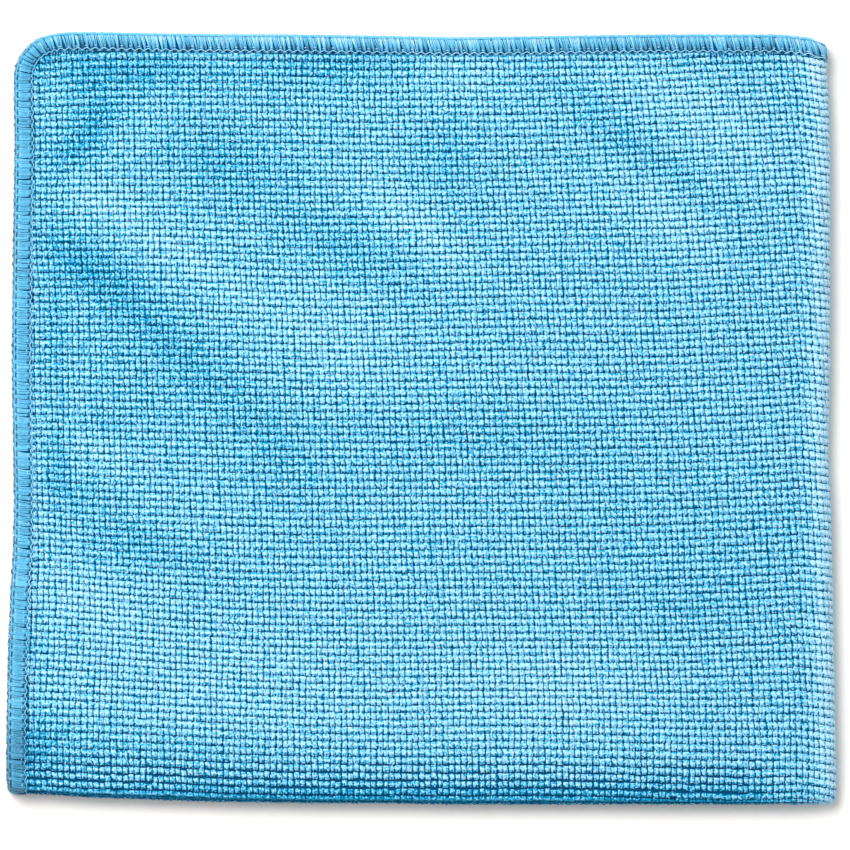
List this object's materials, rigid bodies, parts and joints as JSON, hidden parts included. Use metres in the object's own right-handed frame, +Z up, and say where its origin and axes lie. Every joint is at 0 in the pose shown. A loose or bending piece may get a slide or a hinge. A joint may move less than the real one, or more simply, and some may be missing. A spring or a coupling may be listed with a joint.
{
  "type": "microfibre cloth",
  "caption": "Sky-blue microfibre cleaning cloth with an overlocked edge and rounded corners, folded in quarters and lying flat.",
  "frame": {"origin": "middle of the folded cloth's outline, on the surface that it lies on", "axes": "+X towards the second fold, along the folded cloth's longer side; +Y towards the free edges at the back; +Z up, through the layers"},
  "size_m": [0.2062, 0.192, 0.01],
  "materials": {
    "cloth": "matt looped microfibre with a fine ribbed surface"
  },
  "bodies": {
    "root": {"cloth": "cloth"}
  },
  "joints": []
}
